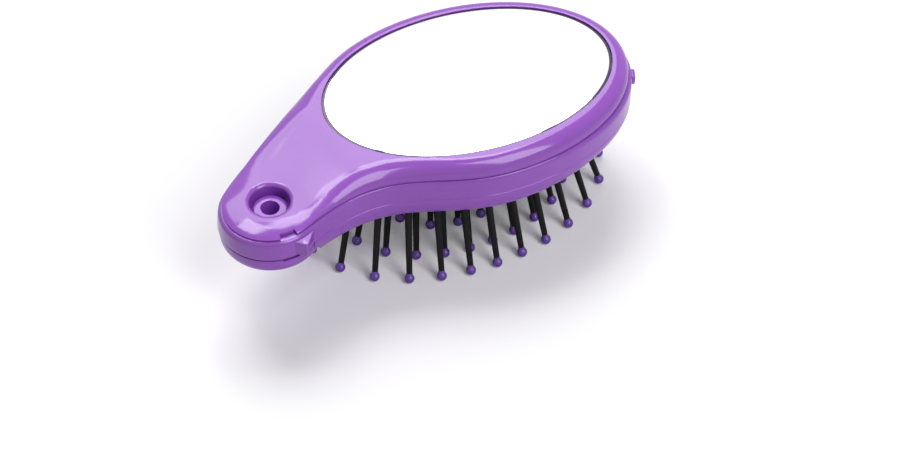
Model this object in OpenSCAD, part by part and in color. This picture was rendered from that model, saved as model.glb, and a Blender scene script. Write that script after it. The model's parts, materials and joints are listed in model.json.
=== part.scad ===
// Folding hairbrush with a mirror, shown folded. Two comma-shaped halves lie one on the other
// and swivel about one upright pivot at the narrow end: the upper half carries the oval mirror
// and is the handle once it is swung out, the lower half carries the cushion and its pins.
// The origin lies on the pivot axis in the mouth of the pivot's open tube, +X runs along the
// mirror's long axis, +Z points out of the mirror. Millimetres.

/* [Mirror] */
// Half the length of the oval mirror
mirror_a = 40.9; // [38:0.1:42]
// Half the width of the oval mirror
mirror_b = 26.9; // [25:0.1:28]
// Shift of the mirror from the middle of its frame, towards the straight side
mirror_shift = 0.5; // [0:0.1:0.5]
// Thickness of the mirror glass
glass_t = 1.3; // [1:0.1:1.6]
// Thickness of the foam tape behind the glass
tape_t = 0.5; // [0.4:0.1:0.7]
// Depth of the glass below the face of the frame
glass_sink = 0.3; // [0.1:0.1:0.5]
// Gap all round the glass in its recess
glass_gap = 0.15; // [0.1:0.05:0.3]

/* [Outline of both halves] */
// Distance from the pivot to the mirror's centre, along the mirror
reach_x = 63.2; // [60:0.2:70]
// Distance from the pivot to the mirror's centre, across the mirror
reach_y = 19.3; // [17:0.1:21]
// Width of the frame at the mirror's ends
rim_end = 4.2; // [4:0.1:5]
// Mean width of the frame at the mirror's sides
rim_side = 4.6; // [4.5:0.1:5.4]
// Radius of the narrow end
neck_r = 13; // [12.6:0.1:14]
// How far the narrow end draws in towards the straight side
neck_trim = 0.8; // [0:0.1:1]
// Where the hollow side leaves the narrow end, in degrees
hollow_from = -62; // [-70:1:-50]
// Reach of the hollow side's curve at the narrow end
hollow_pull = 32; // [26:1:36]
// Reach of the hollow side's curve at the wide end
hollow_ease = 22; // [18:1:26]
// Where the straight side leaves the narrow end, in degrees
straight_from = 135; // [130:1:140]
// Where the straight side meets the oval, in degrees
straight_to = 139; // [134:1:144]
// Reach of the straight side's curve at both ends
straight_pull = 16; // [12:1:20]

/* [Mirror half] */
// Thickness of the frame around the mirror
frame_t = 4.8; // [4.6:0.1:6]
// Thickness of the frame at the narrow end
neck_t = 1.7; // [1.6:0.1:2.4]
// Width of the frame's rounded edge
edge_r = 3.7; // [3:0.1:3.8]
// Height of the upright wall below the rounded edge
side_h = 0.8; // [0.5:0.1:1.2]
// Thickness of the oval back cover
cover_t = 1.2; // [0.8:0.1:1.4]
// How far the back cover reaches past the mirror
cover_lip = 1.4; // [1:0.1:2]

/* [Brush half] */
// Height of the brush shell, which is also the thickness of its tongue
shell_t = 6.5; // [6:0.1:8]
// Thickness of the shell's roof
roof_t = 1.8; // [1.4:0.1:2.4]
// Height of the bezel under the shell
bezel_t = 6.5; // [6:0.1:8]
// How far the brush half swells past the mirror half
swell = 0.6; // [0.4:0.05:0.7]
// Extra swell round the narrow end and the tip
end_swell = 0.5; // [0.3:0.05:0.6]
// Height of the shell's rounded shoulder below the parting line
shoulder_h = 0.8; // [0.6:0.1:1.2]
// Size of the tongue's rounded lower edge
tongue_edge = 0.5; // [0.3:0.1:0.6]
// Width of the bezel's rounded lower edge
under_r = 2.2; // [1.6:0.1:2.4]
// Extra rounding of that edge at the tip
tip_round = 2.4; // [1:0.1:3]
// Height of the bezel's lip that holds the cushion
lip_h = 1.4; // [1:0.1:1.8]

/* [Pivot] */
// Height of the plane where the halves slide, above the mouth of the tube
slide_z = 1.4; // [1.2:0.1:1.6]
// Radius of the open hole through the pivot
hole_r = 2.5; // [2:0.1:3]
// Radius of the cap's tube around that hole
tube_r = 4.4; // [4:0.1:4.6]
// Radius of the frame's hub, which turns in the bush
hub_r = 6.4; // [6:0.1:6.6]
// Wall of the bush in the tongue
bush_wall = 0.8; // [0.6:0.1:1]
// Radius of the well above the pivot
well_r = 5.3; // [5:0.1:5.6]
// Radius of the cap under the tongue
cap_r = 13.7; // [13.4:0.1:13.8]
// Height of that cap
cap_h = 6.6; // [5.5:0.1:7]
// Radius of the cap's rounded lower edge
cap_round = 4; // [3:0.1:4.4]
// Radial running clearance of the hub in the bush
run_gap = 0.05; // [0.02:0.01:0.08]
// Gap between faces that slide on each other
face_gap = 0.2; // [0.15:0.05:0.3]
// Gap between the turning cap and the bezel
cap_gap = 0.3; // [0.3:0.05:0.5]
// Swing of the mirror half, in degrees
swing = 180; // [150:5:200]

/* [Thumb catches] */
// How far the fin on the tongue stands out
fin_out = 3.6; // [2.8:0.1:4]
// Direction of the fin's crest from the pivot, in degrees
fin_at = -74; // [-77:1:-71]
// Length of the tab on the tip
tab_l = 3.2; // [2.5:0.1:4]
// Height of the tab on the tip
tab_h = 3; // [2.5:0.1:3.5]
// How far the tab stands out
tab_out = 0.9; // [0.7:0.1:1.4]

/* [Cushion] */
// Half the length of the cushion
cushion_a = 38.8; // [38:0.1:39.4]
// Half the width of the cushion
cushion_b = 25.2; // [24.6:0.1:25.4]
// Shift of the cushion from the mirror's centre towards the narrow end
cushion_shift = 5.5; // [5:0.1:5.8]
// Turn of the cushion in the brush half, in degrees
cushion_turn = 4; // [2:0.5:6]
// Height of the cushion's crown
crown = 3.2; // [2:0.1:4]
// Width of the cushion's flange
flange_w = 1.2; // [1:0.1:1.3]
// Thickness of the cushion's flange
flange_t = 1.5; // [1.2:0.1:2]
// Thickness of the plate behind the cushion
plate_t = 1.2; // [1:0.1:1.6]

/* [Pins] */
// Distance of the outermost pins' feet from the cushion's edge
pin_edge = 2.7; // [2.6:0.1:3.4]
// Depth of the middles of the balls below the cushion's back
pin_drop = 24.6; // [20:0.1:26]
// Radius of a pin at the cushion
pin_r = 1.05; // [0.9:0.05:1.2]
// Radius of a pin at its ball
pin_end_r = 0.8; // [0.7:0.05:0.9]
// Radius of the ball on a pin
ball_r = 1.4; // [1.2:0.05:1.6]
// Lean of the outermost pins, in degrees
lean = 19; // [10:1:20]
// Radius of a pin's foot
foot_r = 1.7; // [1.4:0.1:2]
// Thickness of a pin's foot
foot_t = 0.6; // [0.5:0.1:0.8]
// Pins in the outer ring
outer_n = 26; // [20:1:28]
// Pins in the second ring
second_n = 22; // [16:1:24]
// Pins in the third ring
third_n = 12; // [8:1:14]
// Pins in the middle
middle_n = 4; // [3:1:5]

/* [Hidden] */

purple = [0.55, 0.33, 0.72];
black = [0.08, 0.08, 0.08];
grip = 0.05;          // slip between pieces that are pressed together
nick = 0.25;          // small chamfer on the edges of the parting lines
past = 1;             // how far a cutter runs past the face it cuts
seat_gap = 0.1;       // gap round pieces that lie in a seat
seam_gap = 0.02;      // gap between the shell and the bezel

centre = [reach_x, reach_y];
middle = centre - [cushion_shift, 0];
glass_at = centre + [0, mirror_shift];
body_a = mirror_a + rim_end;
body_b = mirror_b + rim_side;
lean_in = atan2(reach_y, reach_x);    // direction from the pivot to the mirror's centre
way_in = [cos(lean_in), sin(lean_in)];

shell_top = slide_z - face_gap;
shell_foot = slide_z - shell_t;
bezel_top = shell_foot - seam_gap;
bezel_foot = bezel_top - bezel_t;
cap_top = shell_foot - face_gap;
cap_foot = cap_top - cap_h;
tube_top = 0.2;
pad_top = bezel_foot + lip_h + flange_t;     // back face of the cushion

// ---- the outline that both halves share, as points that run anticlockwise ----
arc_n = 20;
hollow_n = 18;
oval_n = 40;
straight_n = 8;

function on_circle(r, a) = r * [cos(a), sin(a)];
function on_oval(c, a, b, t) = c + [a * cos(t), b * sin(t)];
function unit(v) = v / norm(v);
function bezier(p, q, r, s, t) =
    pow(1 - t, 3) * p + 3 * t * pow(1 - t, 2) * q + 3 * t * t * (1 - t) * r + pow(t, 3) * s;

hollow_start = on_circle(neck_r, hollow_from);
hollow_end = on_oval(centre, body_a, body_b, 270);
straight_start = on_oval(centre, body_a, body_b, straight_to);
straight_way = unit([-body_a * sin(straight_to), body_b * cos(straight_to)]);
straight_end = on_circle(neck_r - neck_trim, straight_from);
trim_arc = 80;        // length over which the narrow end gets back its full radius, in degrees
function ease(t) = t <= 0 ? 0 : t >= 1 ? 1 : t * t * (3 - 2 * t);
function trim_at(a) = neck_trim * ease(1 - (a - straight_from) / trim_arc);
function arc_point(a) = on_circle(neck_r - trim_at(a), a);

outline = concat(
    [for (i = [0 : arc_n - 1]) arc_point(straight_from + i / arc_n * (360 + hollow_from - straight_from))],
    [for (i = [0 : hollow_n - 1])
        bezier(hollow_start, hollow_start + on_circle(hollow_pull, hollow_from + 90),
            hollow_end - [hollow_ease, 0], hollow_end, i / hollow_n)],
    [for (i = [0 : oval_n - 1])
        on_oval(centre, body_a, body_b, 270 + i / oval_n * (90 + straight_to))],
    [for (i = [0 : straight_n - 1])
        bezier(straight_start, straight_start + straight_way * straight_pull,
            straight_end - on_circle(straight_pull, straight_from + 90), straight_end, i / straight_n)]);
count = len(outline);

function along(i) = unit(outline[(i + 1) % count] - outline[(i + count - 1) % count]);
function outward(i) = [along(i).y, -along(i).x];
function grown(i, d) = outline[i] + d * outward(i);

// ---- lofts and ovals ----
// A closed solid through rings of points, listed from the lowest to the highest.
module loft(rings) {
    n = len(rings[0]);
    high = len(rings) - 1;
    polyhedron(points = [for (ring = rings) for (p = ring) p], faces = concat(
        [[for (i = [0 : n - 1]) i]],
        [for (k = [0 : high - 1]) for (i = [0 : n - 1])
            [k * n + i, (k + 1) * n + i, (k + 1) * n + (i + 1) % n]],
        [for (k = [0 : high - 1]) for (i = [0 : n - 1])
            [k * n + i, (k + 1) * n + (i + 1) % n, k * n + (i + 1) % n]],
        [[for (i = [n - 1 : -1 : 0]) high * n + i]]));
}

function outline_ring(d, z) = [for (i = [0 : count - 1]) [grown(i, d).x, grown(i, d).y, z]];

// An upright oval slab from z0 to z1, and the same about a centre of its own.
oval_sides = 72;
module slab(a, b, z0, z1) {
    translate([0, 0, z0])
        linear_extrude(z1 - z0)
            polygon([for (i = [0 : oval_sides - 1]) on_oval([0, 0], a, b, 360 * i / oval_sides)]);
}

module oval(c, a, b, z0, z1) {
    translate(c) slab(a, b, z0, z1);
}

// Places its children in the cushion's own frame.
module at_pad() {
    translate(middle) rotate([0, 0, cushion_turn]) children();
}

module drum(r, z0, z1) {
    translate([0, 0, z0]) cylinder(h = z1 - z0, r = r, $fn = 96);
}

module ring(r_in, r_out, z0, z1) {
    difference() {
        drum(r_out, z0, z1);
        drum(r_in, z0 - past, z1 + past);
    }
}

// A sector of a ring between two directions.
module sector(r_in, r_out, from, to, z0, z1, steps = 24) {
    angles = [for (i = [0 : steps]) from + (to - from) * i / steps];
    translate([0, 0, z0])
        linear_extrude(z1 - z0)
            polygon(concat([for (a = angles) on_circle(r_out, a)],
                [for (i = [steps : -1 : 0]) on_circle(r_in, angles[i])]));
}

// ---- mirror half ----
slope_from = 3;       // distance from the pivot at which the face starts to rise
slope_to = 26;        // and at which it is level with the mirror
function face_z(p) = slide_z + neck_t + (frame_t - neck_t)
    * ease((p * way_in - slope_from) / (slope_to - slope_from));

side_z = slide_z + side_h;
round_n = 6;
face_n = 9;
function frame_edge(i, f) = let(p = grown(i, -edge_r * (1 - cos(f))), top = face_z(grown(i, -edge_r)))
    [p.x, p.y, side_z + (top - side_z) * sin(f)];
// The place on an oval that lies opposite each point of the outline, in the oval's own degrees.
straight_ends = 165;
hollow_starts = 200;
opposite = concat(
    [for (i = [0 : arc_n - 1]) straight_ends + (hollow_starts - straight_ends) * i / arc_n],
    [for (i = [0 : hollow_n - 1]) hollow_starts + (270 - hollow_starts) * i / hollow_n],
    [for (i = [0 : oval_n - 1]) 270 + i / oval_n * (90 + straight_to)],
    [for (i = [0 : straight_n - 1]) straight_to + (straight_ends - straight_to) * i / straight_n]);
function frame_face(i, f) = let(p = grown(i, -edge_r),
    q = on_oval(glass_at, mirror_a, mirror_b, opposite[i]), m = p + f * (q - p))
    [m.x, m.y, face_z(m)];
function oval_ring(d, z) = [for (i = [0 : count - 1])
    let(p = on_oval(glass_at, mirror_a + d, mirror_b + d, opposite[i])) [p.x, p.y, z]];

stop_in = 9.8;
stop_out = 11.2;
stop_arc = 14;        // length of the stop lug, in degrees
stop_h = 1;
stop_gap = 0.3;
stop_at = 150;        // direction of the lug when the halves are folded
recess_z = slide_z + frame_t - glass_sink - glass_t - tape_t;
seat_h = 0.7;         // depth of the hub's seat in the frame
notch_h = 1.5;        // height of the frame's notch beside the fin
notch_d = 1.4;        // its depth, and that of the notch in the cap below
notch_arc = 20;       // its length, in degrees
notch_at = fin_at - 12;

// Its rings run from the seat of the back cover, out and up round the edge, in over the face and
// down to the floor of the mirror's recess.
module mirror_frame() {
    color(purple)
    difference() {
        union() {
            loft(concat(
                [oval_ring(cover_lip, slide_z + cover_t), oval_ring(cover_lip, slide_z)],
                [outline_ring(-nick, slide_z), outline_ring(0, slide_z + nick)],
                [for (k = [0 : round_n]) [for (i = [0 : count - 1]) frame_edge(i, 90 * k / round_n)]],
                [for (k = [1 : face_n]) [for (i = [0 : count - 1]) frame_face(i, k / face_n)]],
                [oval_ring(0, recess_z)]));
            sector(stop_in, stop_out, stop_at - stop_arc / 2, stop_at + stop_arc / 2,
                slide_z - stop_h, side_z);
        }
        slab(hub_r + grip, hub_r + grip, slide_z - past, slide_z + seat_h);
        slab(well_r, well_r, slide_z, slide_z + neck_t + past);
        sector(neck_r - notch_d, neck_r + past, notch_at - notch_arc / 2, notch_at + notch_arc / 2,
            slide_z - past, slide_z + notch_h, 8);
    }
}

mouth_gap = 1.2;      // depth of the groove around the tube's mouth

// The hub that turns in the bush. Its upper end sits in the frame.
module pivot_hub() {
    color(purple)
    rotate_extrude($fn = 96)
        polygon([[tube_r + grip, cap_top], [hub_r, cap_top], [hub_r, slide_z + seat_h],
            [well_r, slide_z + seat_h], [well_r, tube_top - mouth_gap],
            [tube_r + grip, tube_top - mouth_gap]]);
}

glass_edge = 0.35;    // chamfer on the back of the glass
bevel_w = 0.5;        // width of the bevel on its front
tape_in = 4;          // how far the tape ends inside the mirror

module mirror_glass() {
    color([0.9, 0.92, 0.94])
    loft([for (e = [[glass_edge, 0], [0, glass_edge], [0, glass_t - bevel_w], [bevel_w, glass_t]])
        [for (i = [0 : 71]) let(p = on_oval(glass_at, mirror_a - glass_gap - e[0],
            mirror_b - glass_gap - e[0], 5 * i)) [p.x, p.y, recess_z + tape_t + e[1]]]]);
}

module mirror_tape() {
    color([0.95, 0.95, 0.93])
    oval(glass_at, mirror_a - tape_in, mirror_b - tape_in, recess_z, recess_z + tape_t);
}

module back_cover() {
    color(purple)
    oval(glass_at, mirror_a + cover_lip - grip, mirror_b + cover_lip - grip, slide_z,
        slide_z + cover_t);
}

washer_in = hub_r + 0.8;
washer_out = cap_r - 2.4;
washer_drop = 1.2;
washer_t = 0.4;
washer_play = 0.05;   // gap between the washer and the tongue
cap_crown = 0.4;      // how much the cap's underside is crowned
cap_notch_h = 0.8;
cap_notch_arc = 16;
hole_edge = 0.5;      // chamfer at the lower end of the open hole
cap_n = 8;

// The rounded cap under the tongue and the tube that carries it, in one turned piece.
module pivot_cap() {
    color(purple)
    difference() {
        rotate_extrude($fn = 96)
            polygon(concat(
                [[hole_r, tube_top], [hole_r, cap_foot + hole_edge], [hole_r + hole_edge, cap_foot]],
                [for (k = [0 : cap_n]) [cap_r - cap_round * (1 - sin(90 * k / cap_n)),
                    cap_foot + cap_crown + cap_round * (1 - cos(90 * k / cap_n))]],
                [[cap_r - nick, cap_top], [washer_out + 0.2, cap_top],
                 [washer_out + 0.2, cap_top - washer_drop], [washer_in - 0.2, cap_top - washer_drop],
                 [washer_in - 0.2, cap_top], [tube_r, cap_top], [tube_r, tube_top]]));
        sector(cap_r - notch_d, cap_r + past, notch_at - cap_notch_arc / 2, notch_at + cap_notch_arc / 2,
            cap_top - cap_notch_h, cap_top + past, 8);
    }
}

// A dished spring washer that presses the tongue against the frame.
module spring_washer() {
    color([0.75, 0.76, 0.78])
    rotate_extrude($fn = 96)
        polygon([[washer_in, shell_foot - washer_play - washer_t], [washer_in, shell_foot - washer_play],
            [washer_in + washer_t, shell_foot - washer_play],
            [washer_out, cap_top - washer_drop + washer_t], [washer_out, cap_top - washer_drop]]);
}

// ---- brush half ----
bush_r = hub_r + run_gap + bush_wall;
slip_r = bush_r + 1.8;    // radius of the slide washer
slip_t = 0.6;         // depth of its seat
slip_play = 0.05;     // gap between it and the frame
slip_clear = 0.3;     // gap between it and the hub
pocket_a = cushion_a + flange_w + seat_gap;
pocket_b = cushion_b + flange_w + seat_gap;
roof_z = shell_top - roof_t;
post_r = 2;
post_root = 0.5;      // how far a clamp post runs into the roof
stop_slack = 2;       // play of the stop lug at each end of its groove, in degrees

neck_from = 12;       // distance from the pivot at which the narrow end's extra swell starts
neck_fade = 16;       // length over which it comes in

// Heights, offsets, shares of the swell and shares of the tongue's lower edge for the shell's rings.
// The tongue also widens downwards, until its narrow end has its full radius.
shell_side = [[shell_foot, -nick / 2, 1, 1], [shell_foot + 0.4 * tongue_edge, 0, 1, 0.35],
    [shell_foot + tongue_edge, 0, 1, 0], [shell_top - shoulder_h, 0, 1, 0],
    [shell_top - 0.6 * shoulder_h, 0, 0.9, 0], [shell_top - 0.25 * shoulder_h, 0, 0.65, 0],
    [shell_top - 0.05 * shoulder_h, 0, 0.3, 0], [shell_top, -nick, 0, 0]];
function tip_at(i) = ease((outline[i].x - centre.x) / body_a);
function neck_at(i) = ease((neck_from - outline[i] * way_in) / neck_fade);
function swell_at(i) = swell + end_swell * max(neck_at(i), tip_at(i));
function widened(i, z) = i >= arc_n ? 0
    : trim_at(straight_from + i / arc_n * (360 + hollow_from - straight_from)) * (shell_top - z) / shell_t
        * ease(i / 3);
function shell_ring(s) = [for (i = [0 : count - 1])
    let(p = grown(i, s[1] + s[2] * swell_at(i) - s[3] * tongue_edge * neck_at(i) + widened(i, s[0])))
        [p.x, p.y, s[0]]];

fin_ramp = 12;        // length of the fin's hollow ramp, in degrees
fin_back = 18;        // length of its straight back
fin_crest = 1.5;      // length of its crest
fin_start = 0.4;      // how far the ramp's foot stands out
fin_end = 1.2;        // how far the far end of the back stands out
fin_bend = 1.6;       // how hollow the ramp is
fin_lift = 0.7;       // height of its underside above the shell's foot
fin_drop = 0.8;       // depth of its top below the shell's
fin_root = 2;         // how deep its root lies in the tongue
fin_n = 6;

module fin() {
    root = neck_r - fin_root;
    translate([0, 0, shell_foot + fin_lift])
        linear_extrude(shell_top - fin_drop - shell_foot - fin_lift)
            polygon(concat(
                [on_circle(root, fin_at - fin_ramp)],
                [for (k = [0 : fin_n])
                    on_circle(neck_r + fin_start + (fin_out - fin_start) * pow(k / fin_n, fin_bend),
                        fin_at + fin_ramp * (k / fin_n - 1))],
                [on_circle(neck_r + fin_out, fin_at + fin_crest),
                 on_circle(neck_r + fin_end, fin_at + fin_back), on_circle(root, fin_at + fin_back)]));
}

tab_angle = -13.5;    // place of the tab on the oval, in the oval's own degrees
tab_drop = 1;         // depth of its top below the shell's
tab_root = 1;         // how deep its root lies in the wall

module tip_tab() {
    spot = on_oval(centre, body_a, body_b, tab_angle);
    facing = atan2(sin(tab_angle) / body_b, cos(tab_angle) / body_a);
    translate([spot.x, spot.y, shell_top - tab_drop - tab_h])
        rotate([0, 0, facing])
            translate([-tab_root, -tab_l / 2, 0])
                cube([tab_root + swell + end_swell + tab_out, tab_l, tab_h]);
}

post_angles = [30, 90, 150, 210, 270, 330];

module brush_shell() {
    color(purple)
    difference() {
        union() {
            difference() {
                loft([for (s = shell_side) shell_ring(s)]);
                at_pad() slab(pocket_a, pocket_b, shell_foot - past, roof_z);
            }
            for (a = post_angles)
                at_pad()
                    translate(on_oval([0, 0], pocket_a * 0.72, pocket_b * 0.66, a))
                        drum(post_r, pad_top + plate_t, roof_z + post_root);
            fin();
            tip_tab();
        }
        drum(bush_r, shell_foot - past, shell_top + past);
        drum(slip_r + seat_gap, shell_top - slip_t, shell_top + past);
        sector(stop_in - stop_gap, stop_out + stop_gap, stop_at - stop_arc / 2 - stop_slack,
            stop_at + swing + stop_arc / 2 + stop_slack, slide_z - stop_h - stop_gap, shell_top + past, 36);
    }
}

module pivot_bush() {
    color([0.92, 0.92, 0.9])
    ring(hub_r + run_gap, bush_r, shell_foot, shell_top - slip_t);
}

module slide_washer() {
    color([0.92, 0.92, 0.9])
    ring(hub_r + slip_clear, slip_r, shell_top - slip_t, slide_z - slip_play);
}

// Heights, offsets, shares of the swell and shares of the tip's rounding for the bezel's rings.
// The lowest and the highest ring lie past the bezel's flat faces, which are cut afterwards.
bezel_side = [[bezel_foot - 0.1, -under_r * 1.2, 0, 1], [bezel_foot + 0.15, -under_r * 0.72, 0, 0.9],
    [bezel_foot + 0.6, -under_r * 0.38, 0, 0.7], [bezel_foot + 1.4, -under_r * 0.1, 0, 0.45],
    [bezel_foot + 2.6, 0, 0.2, 0.2], [bezel_foot + 4, 0, 0.7, 0.05],
    [bezel_top - nick / 2, 0, 1, 0], [bezel_top + nick, -nick * 1.5, 1, 0]];
function bezel_ring(s) = [for (i = [0 : count - 1])
    let(p = grown(i, s[1] + s[2] * swell_at(i) - s[3] * tip_round * tip_at(i))) [p.x, p.y, s[0]]];
end_turn = 9;         // slant of the bezel's end against the line through both centres
end_at = 3.9;         // distance of that end from the pivot

module brush_bezel() {
    color(purple)
    difference() {
        loft([for (s = bezel_side) bezel_ring(s)]);
        at_pad() slab(cushion_a + grip, cushion_b + grip, bezel_foot - past, bezel_foot + lip_h + past);
        at_pad() slab(pocket_a, pocket_b, bezel_foot + lip_h, bezel_top + past);
        for (z = [bezel_foot - past, bezel_top])
            translate([-2 * neck_r, -2 * body_b, z]) cube([3 * reach_x, 4 * body_b, past]);
        slab(cap_r + cap_gap, cap_r + cap_gap, bezel_foot - past, bezel_top + past);
        rotate([0, 0, lean_in + end_turn])
            translate([end_at - 40, -40, bezel_foot - past])
                cube([40, 80, bezel_t + 2 * past]);
    }
}

module cushion_plate() {
    color(black)
    at_pad() slab(cushion_a + flange_w, cushion_b + flange_w, pad_top, pad_top + plate_t);
}

// ---- cushion and pins ----
cushion_n = 64;
cushion_edge = bezel_foot + lip_h * 0.4;
crown_steps = [0.12, 0.3, 0.46, 0.6, 0.72, 0.82, 0.9, 0.96];

function pad_ring(a, b, z) = [for (i = [0 : cushion_n - 1])
    let(p = on_oval([0, 0], a, b, 360 * i / cushion_n)) [p.x, p.y, z]];

// The crown: a dome that is steepest near the edge.
function crown_z(s) = cushion_edge - crown * sqrt(1 - s * s);

module cushion() {
    color(black)
    difference() {
        at_pad()
            loft(concat(
                [for (s = crown_steps) pad_ring(cushion_a * s, cushion_b * s, crown_z(s))],
                [pad_ring(cushion_a, cushion_b, cushion_edge),
                 pad_ring(cushion_a, cushion_b, bezel_foot + lip_h),
                 pad_ring(cushion_a + flange_w, cushion_b + flange_w, bezel_foot + lip_h + 0.01),
                 pad_ring(cushion_a + flange_w, cushion_b + flange_w, pad_top)]));
        for (g = pin_rings)
            each_pin(g) pin_shape(pin_r + pin_slip, foot_r + grip, foot_t + grip, hole_deep,
                pin_r + pin_slip, past);
    }
}

pin_slip = 0.03;      // gap round a pin in its hole
hole_deep = 14;       // how far down the pins' holes are cut, past the crown
pin_straight = 7;     // length of a pin's straight stretch
pin_sunk = 0.4;       // depth at which it leaves the foot
root_a = cushion_a - pin_edge;
root_b = cushion_b - pin_edge;
// Size of each ring of pins against the outermost, how many pins it has and where they begin.
pin_rings = [[1, outer_n, 0.45], [0.75, second_n, 0.8], [0.42, third_n, 0.5], [0.14, middle_n, 0.5]];
even = 90 / PI * (root_a - root_b) / (root_a + root_b);   // spreads pins evenly round an oval

// Places its children at each pin of a ring, with the pin's own line running down.
module each_pin(g) {
    for (i = [0 : g[1] - 1]) {
        turn = 360 * (i + g[2]) / g[1];
        t = turn + even * sin(2 * turn);
        p = on_oval([0, 0], root_a * g[0], root_b * g[0], t);
        at_pad()
            translate([p.x, p.y, pad_top])
                rotate([0, 0, atan2(sin(t) / root_b, cos(t) / root_a)]) {
                    $lean = lean * g[0];
                    children();
                }
    }
}

// A pin with a flat foot and a leaning shaft. The foot may rise past the cushion's back.
module pin_shape(r, f_r, f_t, drop, end_r, rise = 0) {
    length = drop / cos($lean);
    translate([0, 0, -f_t]) cylinder(h = f_t + rise, r = f_r, $fn = 32);
    rotate([0, -$lean, 0]) {
        translate([0, 0, -pin_straight]) cylinder(h = pin_straight - pin_sunk, r = r, $fn = 32);
        translate([0, 0, -length]) cylinder(h = length - pin_straight, r1 = end_r, r2 = r, $fn = 32);
    }
}

module pin_set(g) {
    color(black)
    each_pin(g) pin_shape(pin_r, foot_r, foot_t, pin_drop, pin_end_r);
}

module tip_set(g) {
    color([0.35, 0.2, 0.55])
    each_pin(g)
        rotate([0, -$lean, 0])
            translate([0, 0, -pin_drop / cos($lean)])
                difference() {
                    sphere(r = ball_r, $fn = 32);
                    cylinder(h = 2 * ball_r, r = pin_end_r + grip, $fn = 32);
                }
}

mirror_frame();
mirror_glass();
mirror_tape();
back_cover();
pivot_hub();
pivot_cap();
spring_washer();
brush_shell();
pivot_bush();
slide_washer();
brush_bezel();
cushion_plate();
cushion();
pin_set(pin_rings[0]);  // pins_outer_ring
pin_set(pin_rings[1]);  // pins_second_ring
pin_set(pin_rings[2]);  // pins_third_ring
pin_set(pin_rings[3]);  // pins_middle
tip_set(pin_rings[0]);  // tips_outer_ring
tip_set(pin_rings[1]);  // tips_second_ring
tip_set(pin_rings[2]);  // tips_third_ring
tip_set(pin_rings[3]);  // tips_middle
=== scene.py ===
# %% [markdown]
# # A folding hairbrush with a mirror
# Two comma-shaped halves of glossy purple plastic lie one on the other and swivel about one
# upright pivot. The upper half carries an oval mirror, the lower half a black cushion with pins.
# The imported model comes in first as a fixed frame: it says where every piece is and how the
# halves turn. Each step below then makes one smooth piece in its place, or gives one a finish.

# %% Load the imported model
import json
import math
import bmesh
import bpy
from mathutils import Matrix, Vector


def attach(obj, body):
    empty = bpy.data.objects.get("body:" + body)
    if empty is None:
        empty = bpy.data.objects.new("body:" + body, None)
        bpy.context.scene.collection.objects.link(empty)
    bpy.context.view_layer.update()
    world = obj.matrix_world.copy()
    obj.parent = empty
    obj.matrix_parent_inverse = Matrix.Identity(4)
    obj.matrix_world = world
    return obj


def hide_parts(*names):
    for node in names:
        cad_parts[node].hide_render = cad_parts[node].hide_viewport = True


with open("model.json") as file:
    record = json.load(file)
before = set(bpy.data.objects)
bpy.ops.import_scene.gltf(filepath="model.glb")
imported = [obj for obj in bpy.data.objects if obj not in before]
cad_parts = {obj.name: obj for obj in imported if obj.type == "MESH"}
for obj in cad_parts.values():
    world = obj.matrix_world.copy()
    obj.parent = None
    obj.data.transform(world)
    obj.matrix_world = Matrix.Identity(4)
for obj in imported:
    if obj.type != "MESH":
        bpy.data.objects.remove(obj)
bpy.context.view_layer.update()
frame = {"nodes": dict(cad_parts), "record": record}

# %% [markdown]
# ## The outline
# Both halves share one plan: an arc round the pivot, a hollow curve, most of an oval and a
# nearly straight side. It could be one drawn curve, but then nothing would say which part of it
# belongs to the arc or the oval. Here it is a list of stations, and each knows its point, its
# outward direction, and the spot on the inner edges (mirror or well) that it faces. Every ring
# of the frame, the shell and the bezel is then made by moving stations in or out.

# %% Sizes of the outline, in millimetres
centre = Vector((63.2, 19.3))
glass_at = centre + Vector((0, 0.5))
mirror_a, mirror_b = 40.9, 26.9
rim_a, rim_b = 4.2, 4.6
body_a, body_b = mirror_a + rim_a, mirror_b + rim_b
neck_r, neck_trim, trim_arc = 13.0, 0.8, 80
hollow_from, hollow_pull, hollow_ease = -62, 32, 22
straight_from, straight_to, straight_pull = 135, 139, 16
way_in = centre.normalized()
lean_in = math.degrees(math.atan2(way_in.y, way_in.x))


def cosd(a):
    return math.cos(math.radians(a))


def sind(a):
    return math.sin(math.radians(a))


def on_circle(r, a):
    return Vector((cosd(a), sind(a))) * r


def on_oval(c, a, b, t):
    return c + Vector((a * cosd(t), b * sind(t)))


def out_of_oval(a, b, t):
    """Outward direction of an oval at angle t."""
    return Vector((cosd(t) / a, sind(t) / b)).normalized()


def ease(t):
    """Goes smoothly from 0 to 1 while t does, and stays there."""
    t = min(max(t, 0), 1)
    return t * t * (3 - 2 * t)


# %% The four parts of the outline
straight_way = Vector((-body_a * sind(straight_to), body_b * cosd(straight_to))).normalized()
hollow_start = on_circle(neck_r, hollow_from)
hollow_end = on_oval(centre, body_a, body_b, 270)
straight_start = on_oval(centre, body_a, body_b, straight_to)
straight_end = on_circle(neck_r - neck_trim, straight_from)
hollow_curve = [hollow_start, hollow_start + on_circle(hollow_pull, hollow_from + 90),
                hollow_end - Vector((hollow_ease, 0)), hollow_end]
straight_curve = [straight_start, straight_start + straight_way * straight_pull,
                  straight_end - on_circle(straight_pull, straight_from + 90), straight_end]


def on_curve(points, t):
    """Point and outward direction on a curve with four handles."""
    p, q, r, s = points
    spot = (1 - t)**3 * p + 3 * t * (1 - t)**2 * q + 3 * t * t * (1 - t) * r + t**3 * s
    way = (1 - t)**2 * (q - p) + 2 * t * (1 - t) * (r - q) + t * t * (s - r)
    return spot, Vector((way.y, -way.x)).normalized()


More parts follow.
